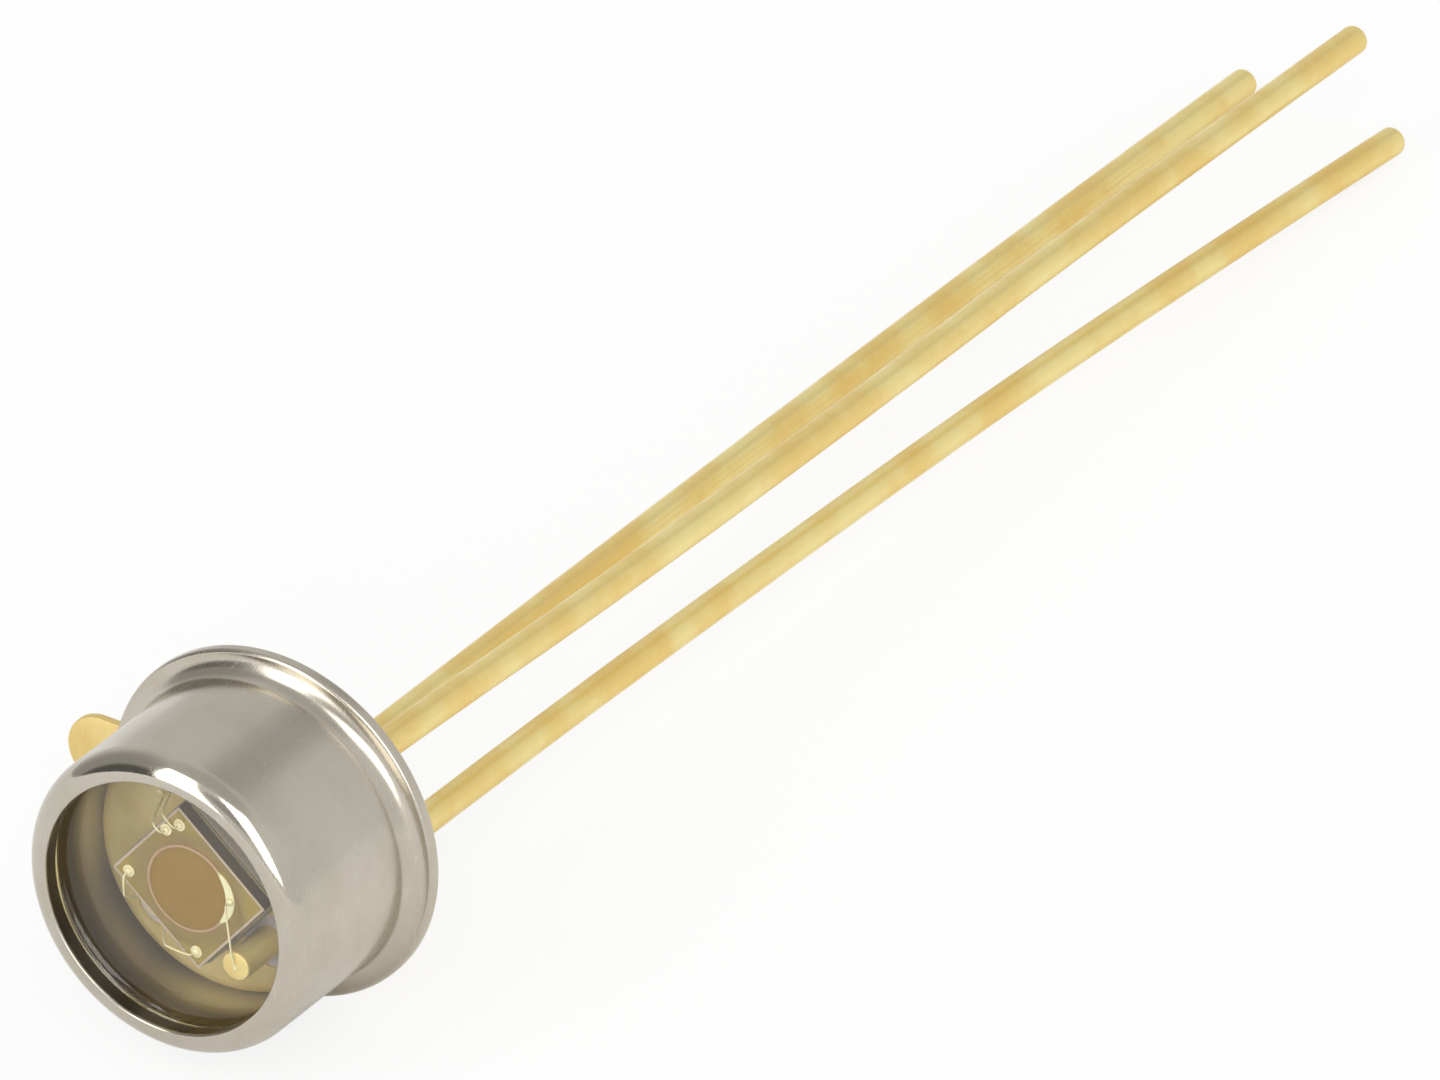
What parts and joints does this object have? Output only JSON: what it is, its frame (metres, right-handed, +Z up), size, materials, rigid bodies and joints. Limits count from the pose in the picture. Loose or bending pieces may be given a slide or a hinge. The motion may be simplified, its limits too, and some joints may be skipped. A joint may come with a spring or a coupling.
{
  "type": "photodiode",
  "caption": "Photodiode in a small metal can with a flat glass window over a square die, on a gold header with an index tab and long round leads.",
  "frame": {"origin": "centre of the header's seating plane, where the can's axis leaves the metal", "axes": "+Y towards the leads, +Z up from the surface that the part lies on; the leads slope down to their tips by 3.2 degrees"},
  "size_m": [0.0063, 0.0304, 0.0054],
  "materials": {
    "nickel": "bright nickel plate, lightly handled",
    "gold": "satin gold plate",
    "window_glass": "clear polished borosilicate glass",
    "frit": "fused grey glass frit",
    "seal_glass": "fused pale grey seal glass",
    "braze": "smooth gold braze",
    "solder": "gold-tin solder, matt",
    "ceramic": "white alumina, matt",
    "bond_gold": "bright bare gold",
    "chip": "polished chip with a grey-brown film",
    "active_film": "golden-brown antireflection film"
  },
  "bodies": {
    "root": {"cap": "nickel", "header": "gold", "lead_1": "gold", "lead_2": "gold", "lead_3": "gold", "window": "window_glass", "window_seal": "frit", "glass_seal_1": "seal_glass", "glass_seal_2": "seal_glass", "lead_3_braze": "braze", "submount_solder": "solder", "die_solder": "solder", "submount": "ceramic", "submount_metal": "bond_gold", "anode_ring": "bond_gold", "cathode_pad_1": "bond_gold", "cathode_pad_2": "bond_gold", "shield_pad_1": "bond_gold", "shield_pad_2": "bond_gold", "anode_wire": "bond_gold", "cathode_wire_1": "bond_gold", "cathode_wire_2": "bond_gold", "shield_wire_1": "bond_gold", "shield_wire_2": "bond_gold", "die": "chip", "active_area": "active_film"}
  },
  "joints": []
}
